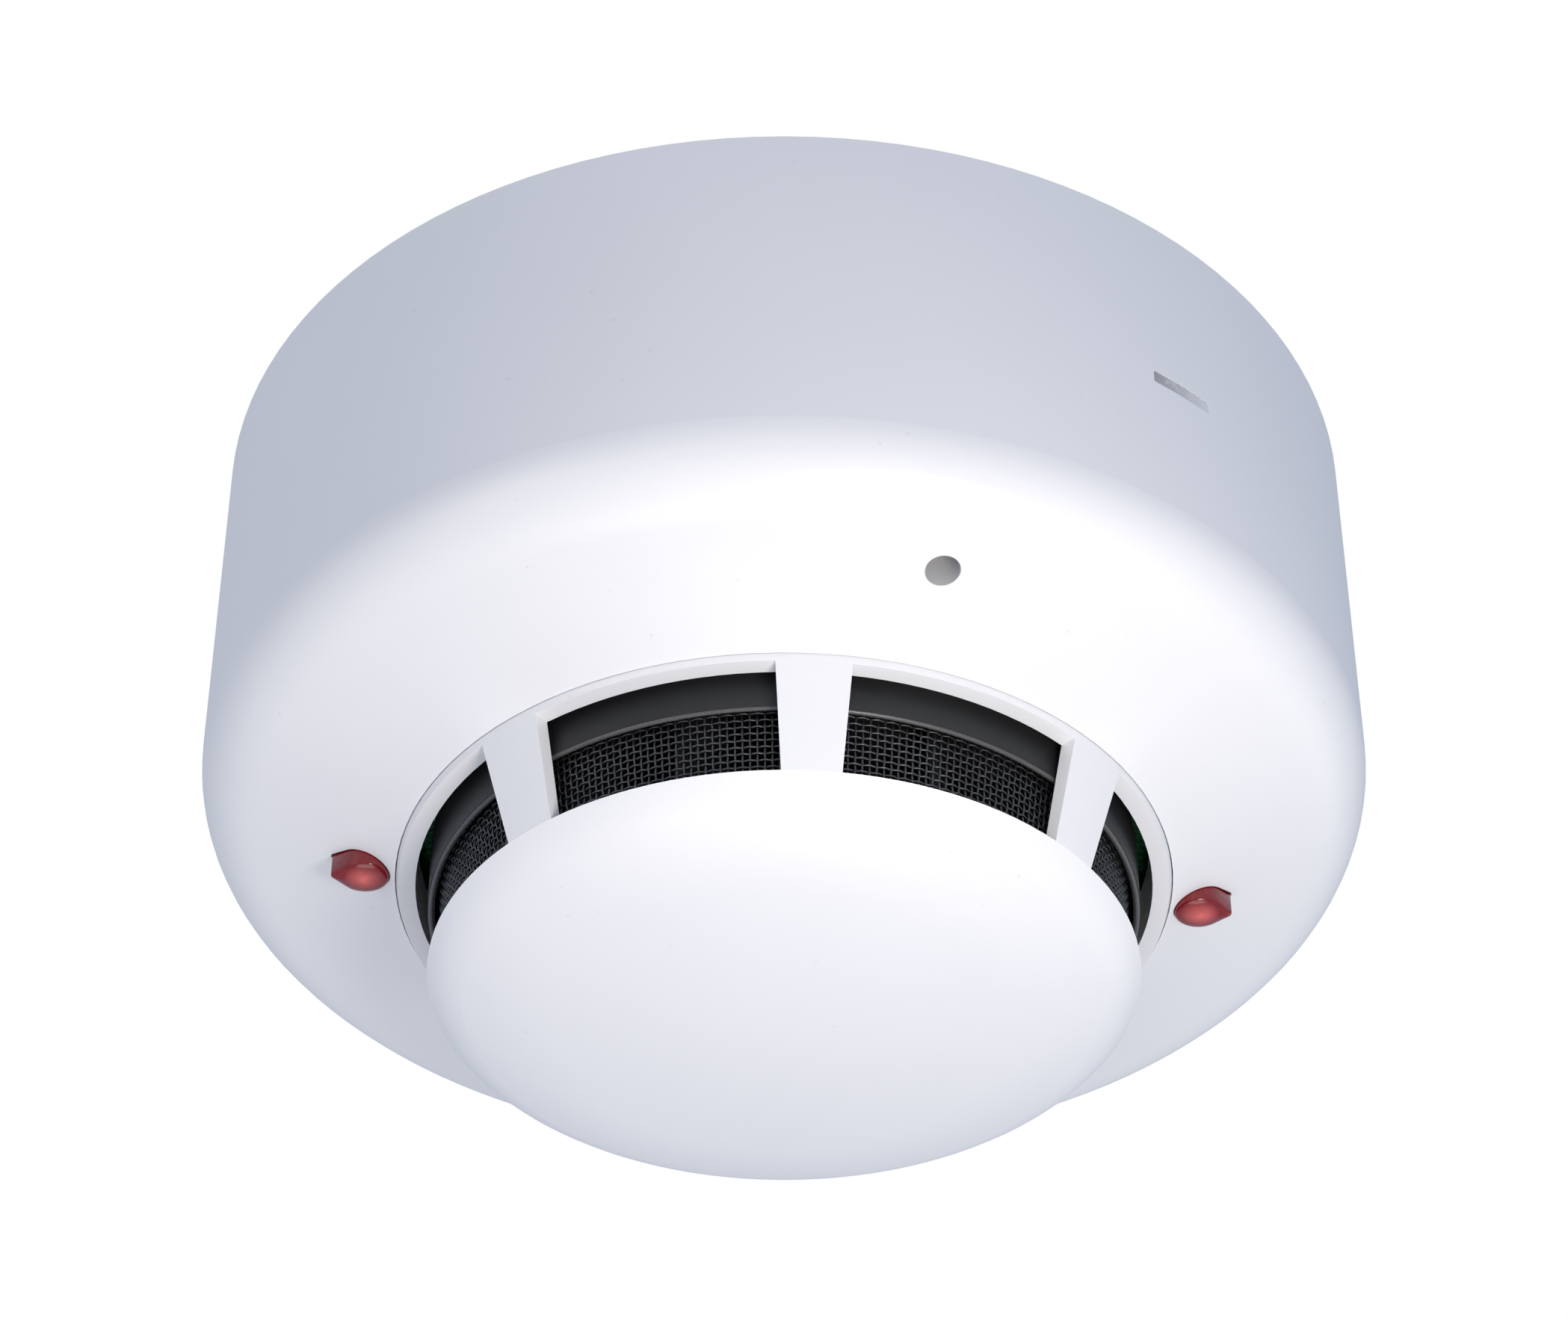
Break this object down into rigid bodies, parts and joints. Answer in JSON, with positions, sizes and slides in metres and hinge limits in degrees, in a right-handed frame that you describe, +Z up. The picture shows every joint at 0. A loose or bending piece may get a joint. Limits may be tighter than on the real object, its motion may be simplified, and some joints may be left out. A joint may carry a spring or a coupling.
{
  "type": "heat detector",
  "caption": "Round white ceiling fire detector head in a bayonet base, with a screened sensing chamber, a thermistor and red indicator lenses.",
  "frame": {"origin": "centre of the mounting base's face against the ceiling, on the axis of the cable entry", "axes": "+Z up into the ceiling; X through the two indicator lenses; -Y towards the front rib of the sensor cage"},
  "size_m": [0.1, 0.1, 0.0551],
  "materials": {
    "white_abs": "satin moulded white",
    "base_abs": "fine matt moulded white",
    "housing_abs": "fine matt moulded off-white",
    "contact_brass": "tarnish-free rolled strip",
    "plated_steel": "zinc plated",
    "insert_brass": "turned and knurled",
    "dark_steel": "black oxide",
    "chamber_black": "matt, light absorbing",
    "screen_black": "blackened woven wire",
    "board_green": "solder resist over glass cloth",
    "lens_red": "clear red acrylic",
    "diode_red": "diffused red epoxy",
    "emitter_clear": "tinted epoxy",
    "diode_dark": "daylight-filtering epoxy",
    "bead_epoxy": "dipped epoxy bead",
    "reed_glass": "green tinted glass",
    "relay_case": "moulded case",
    "capacitor_sleeve": "shrunk sleeve",
    "tin_plate": "tin plated",
    "varistor_blue": "dipped coating",
    "chip_black": "moulded compound"
  },
  "bodies": {
    "base": {"base_contact_1": "contact_brass", "base_contact_2": "contact_brass", "base_contact_3": "contact_brass", "base_contact_4": "contact_brass", "clamp_plate_1": "plated_steel", "clamp_plate_2": "plated_steel", "clamp_plate_3": "plated_steel", "clamp_plate_4": "plated_steel", "mounting_base": "base_abs", "terminal_screws": "plated_steel"},
    "head": {"bridge_rectifier": "chip_black", "capacitor_1": "capacitor_sleeve", "capacitor_2": "capacitor_sleeve", "chamber_base": "chamber_black", "chamber_lid": "chamber_black", "chip_resistors": "chip_black", "circuit_board": "board_green", "head_contact_1": "contact_brass", "head_contact_2": "contact_brass", "head_contact_3": "contact_brass", "head_contact_4": "contact_brass", "housing_screws": "plated_steel", "insect_screen": "screen_black", "ir_emitter": "emitter_clear", "led_left": "diode_red", "led_lens_left": "lens_red", "led_lens_right": "lens_red", "led_right": "diode_red", "lock_insert": "insert_brass", "microcontroller": "chip_black", "outer_cover": "white_abs", "photodiode": "diode_dark", "rear_housing": "housing_abs", "reed_switch": "reed_glass", "reference_thermistor": "bead_epoxy", "relay": "relay_case", "sensor_cage": "white_abs", "shield_can": "tin_plate", "thermistor": "bead_epoxy", "varistor": "varistor_blue"},
    "locking_screw": {"lock_screw": "dark_steel"}
  },
  "joints": [
    {"name": "head_twist", "type": "hinge", "parent": "base", "child": "head", "pos_m": [0, 0, 0], "axis": [0, 0, -1], "range_deg": [0, 18]},
    {"name": "lock_screw_travel", "type": "slide", "parent": "head", "child": "locking_screw", "axis": [0, 0, 1], "range_m": [0, 0.0019]}
  ]
}
